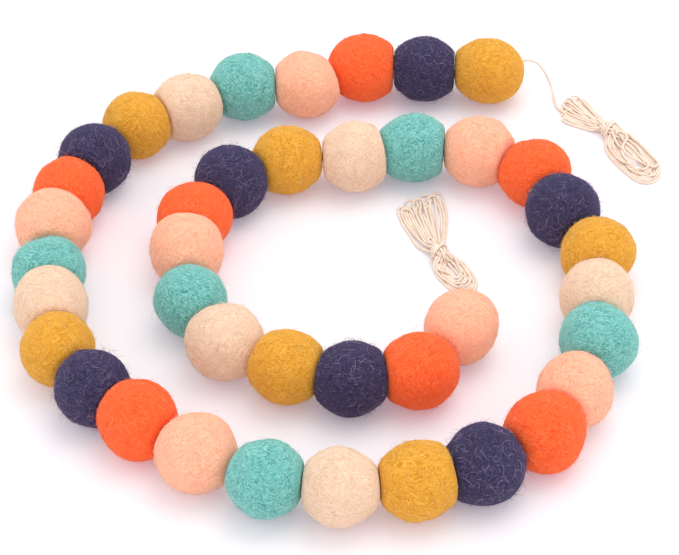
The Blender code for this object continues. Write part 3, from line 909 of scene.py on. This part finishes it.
# Turns that lay the long way of the streaks level, rising to the right and rising to the left
FIBRE_TURNS = tuple(tuple(np.radians(turn)) for turn in ((0, 90, 0), (0, 60, 40), (0, 60, 150)))
FIBRE_SIZE = (0.38 * MM, 0.38 * MM, 3.4 * MM)
FIBRE_BEND = 7.0 * MM
FELT_SLOW = 130.0  # scale of the slow noise: about a wave to each 8 mm
DEEP_TO_MAIN, MAIN_TO_PALE, FELT_DRIFT = (0.41, 0.55), (0.57, 0.71), (0.35, 0.70)
PALE_RELIEF = 0.5  # how much the topmost fibres add to the relief
FELT_RELIEF = (0.35 * MM, 0.8)  # its depth and strength


def felt_finish(colour):
    """The felt of one colour, over the ball's own place in space."""
    *tones, pale_share, drift, sheen = FELT_LOOKS[colour]
    deep, main, pale = (srgb(*tone) for tone in tones)
    finish = Finish("felt_" + colour)
    bent = finish.bent(finish.place, FELT_SLOW, FIBRE_BEND)
    layers = [finish.streaks(bent, turn, FIBRE_SIZE) for turn in FIBRE_TURNS]
    together = finish.math("ADD", finish.math("ADD", *layers[:2]), layers[2])
    mat = finish.math("MULTIPLY", together, 1 / 3)
    over = finish.math("MAXIMUM", finish.math("MAXIMUM", *layers[:2]), layers[2])
    slow = finish.noise(finish.place, FELT_SLOW)["Fac"]
    tone = finish.mix(finish.ramp(mat, *DEEP_TO_MAIN), deep, main)
    shown = finish.math("MULTIPLY", finish.ramp(over, *MAIN_TO_PALE), pale_share)
    tone = finish.mix(shown, tone, pale)
    drifted = finish.math("MULTIPLY", finish.ramp(slow, *FELT_DRIFT), drift)
    tone = finish.mix(drifted, tone, main)
    finish.surface({"Base Color": tone, "Roughness": 0.95, "Specular IOR Level": 0.15,
                    "Sheen Weight": sheen, "Sheen Roughness": 0.5, "Sheen Tint": pale})
    relief = finish.math("ADD", mat, finish.math("MULTIPLY", over, PALE_RELIEF))
    finish.bump(relief, *FELT_RELIEF)
    return finish.material


felt = {colour: felt_finish(colour) for colour in COLOURS}
for index, ball in enumerate(felt_balls):
    ball.data.materials.append(felt[COLOURS[index % len(COLOURS)]])
print("felt finishes", sorted(felt))

# %% The loose fibres' material
# For each colour the tones of its loose fibres as a screen shows them, deepest to palest
FIBRE_LOOKS = {
    "mustard": ((203, 135, 42), (233, 177, 79), (252, 223, 152)),
    "navy": ((44, 39, 68), (96, 84, 120), (184, 166, 192)),
    "coral": ((212, 70, 33), (253, 125, 77), (253, 179, 141)),
    "peach": ((239, 162, 131), (255, 199, 167), (255, 232, 211)),
    "teal": ((72, 141, 134), (138, 202, 193), (211, 238, 228)),
    "cream": ((223, 187, 156), (245, 217, 192), (249, 237, 224)),
}
STRAND_GRAIN = (1800.0, 0.2)  # scale of a strand's own noise, and how much it counts
STRAND_DEEP, STRAND_PALE = (0.1, 0.6), (0.6, 1.1)


def fibre_finish(colour):
    """Wool strands: each strand's own tone between deep and pale, broken up by a fine noise."""
    deep, main, pale = (srgb(*tone) for tone in FIBRE_LOOKS[colour])
    finish = Finish("fibre_" + colour)
    attribute = finish.nodes.new("ShaderNodeAttribute")
    attribute.attribute_name = "tone"
    grain = finish.noise(finish.place, STRAND_GRAIN[0])["Fac"]
    grain = finish.math("MULTIPLY", grain, STRAND_GRAIN[1])
    shade = finish.math("ADD", attribute.outputs["Fac"], grain)
    tone = finish.mix(finish.ramp(shade, *STRAND_DEEP), deep, main)
    tone = finish.mix(finish.ramp(shade, *STRAND_PALE), tone, pale)
    finish.surface({"Base Color": tone, "Roughness": 0.9, "Specular IOR Level": 0.2})
    return finish.material


for colour, piece in fibres.items():
    piece.data.materials.append(fibre_finish(colour))
print("fibre finishes", [piece.active_material.name for piece in fibres.values()])

# %% [markdown]
# ## The cord's finish
# Undyed cotton is a warm off-white, a little pinker in the grooves between its plies where light
# has bounced from fibre to fibre. Fine noise stands for the fibres of the plies.

# %% The cord material
CORD_DEEP, CORD_MAIN, CORD_PALE = srgb(228, 199, 179), srgb(238, 219, 200), srgb(246, 236, 224)
CORD_GRAIN, CORD_SLOW = 5200.0, 260.0  # scales of the two noises
CORD_DRIFT, CORD_TO_PALE = (0.30, 0.70), (0.40, 0.68)
CORD_RELIEF = (0.08 * MM, 0.6)  # its depth and strength


def cord_finish():
    """Cotton with fine fibre noise over a slow drift of tone."""
    finish = Finish("cotton_cord")
    grain = finish.noise(finish.place, CORD_GRAIN, detail=3.0, roughness=0.6)["Fac"]
    slow = finish.noise(finish.place, CORD_SLOW)["Fac"]
    tone = finish.mix(finish.ramp(slow, *CORD_DRIFT), CORD_DEEP, CORD_MAIN)
    tone = finish.mix(finish.ramp(grain, *CORD_TO_PALE), tone, CORD_PALE)
    finish.surface({"Base Color": tone, "Roughness": 0.85, "Specular IOR Level": 0.2,
                    "Sheen Weight": 0.1})
    finish.bump(grain, *CORD_RELIEF)
    return finish.material


cotton = cord_finish()
for piece in (cord_a, cord_b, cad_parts["string"]):
    piece.data.materials.clear()
    piece.data.materials.append(cotton)
print("cord finish", cotton.name)

# %% [markdown]
# ## Floor and light
# The picture is bright and nearly without shadow: a white surface under broad light from all
# round, a little stronger from above. A white floor that runs far past the view, a white sky and
# one large soft lamp overhead give the same faint shadows, which pick up the balls' colours.
# The undersides of the balls that face the camera aren't dark either, so a second soft lamp
# stands low in front. It skims the floor and hardly lightens the shadows there.
# The shadows in the picture never get dark and lean to lilac, as on a glossy white sheet that is
# lit through as well. So the floor also glows a little by itself, in lilac.

# %% Floor
FLOOR_HALF = 3.0  # in metres, from the middle to a side
FLOOR_WHITE, FLOOR_LILAC = (0.72, 0.72, 0.72, 1), (0.92, 0.76, 0.97, 1)
FLOOR_GLOW = 0.21

floor_points = np.array([(-1, -1, 0), (1, -1, 0), (1, 1, 0), (-1, 1, 0)]) * FLOOR_HALF
floor = add_mesh("floor", floor_points, np.array([[0, 1, 2, 3]]), smooth=False)
floor_finish = Finish("floor_white")
floor_finish.surface({"Base Color": FLOOR_WHITE, "Roughness": 0.9, "Specular IOR Level": 0.0,
                      "Emission Color": FLOOR_LILAC, "Emission Strength": FLOOR_GLOW})
floor.data.materials.append(floor_finish.material)
print("floor", 2 * FLOOR_HALF, "m wide, glow", FLOOR_GLOW)

# %% Sky and lamps
SKY_WHITE, SKY_STRENGTH = (1.0, 1.0, 1.0, 1), 1.16

world = bpy.data.worlds.new("soft_white")
world.use_nodes = True
sky = world.node_tree.nodes["Background"]
sky.inputs["Color"].default_value = SKY_WHITE
sky.inputs["Strength"].default_value = SKY_STRENGTH
bpy.context.scene.world = world


def add_lamp(name, place, size, energy):
    """A round soft lamp that faces the middle of the garland."""
    lamp_data = bpy.data.lights.new(name, "AREA")
    lamp_data.shape = "DISK"
    lamp_data.size = size
    lamp_data.energy = energy
    lamp = bpy.data.objects.new(name, lamp_data)
    bpy.context.scene.collection.objects.link(lamp)
    lamp.location = place
    lamp.rotation_euler = (-lamp.location).to_track_quat("-Z", "Y").to_euler()
    return lamp


overhead = add_lamp("overhead", (0.25, 0.25, 1.1), size=0.9, energy=3.8)
front = add_lamp("front_fill", (0.0, -1.5, 0.30), size=1.2, energy=2.3)
bpy.context.scene.view_settings.view_transform = "Standard"
print("lights", world.name, overhead.name, front.name)
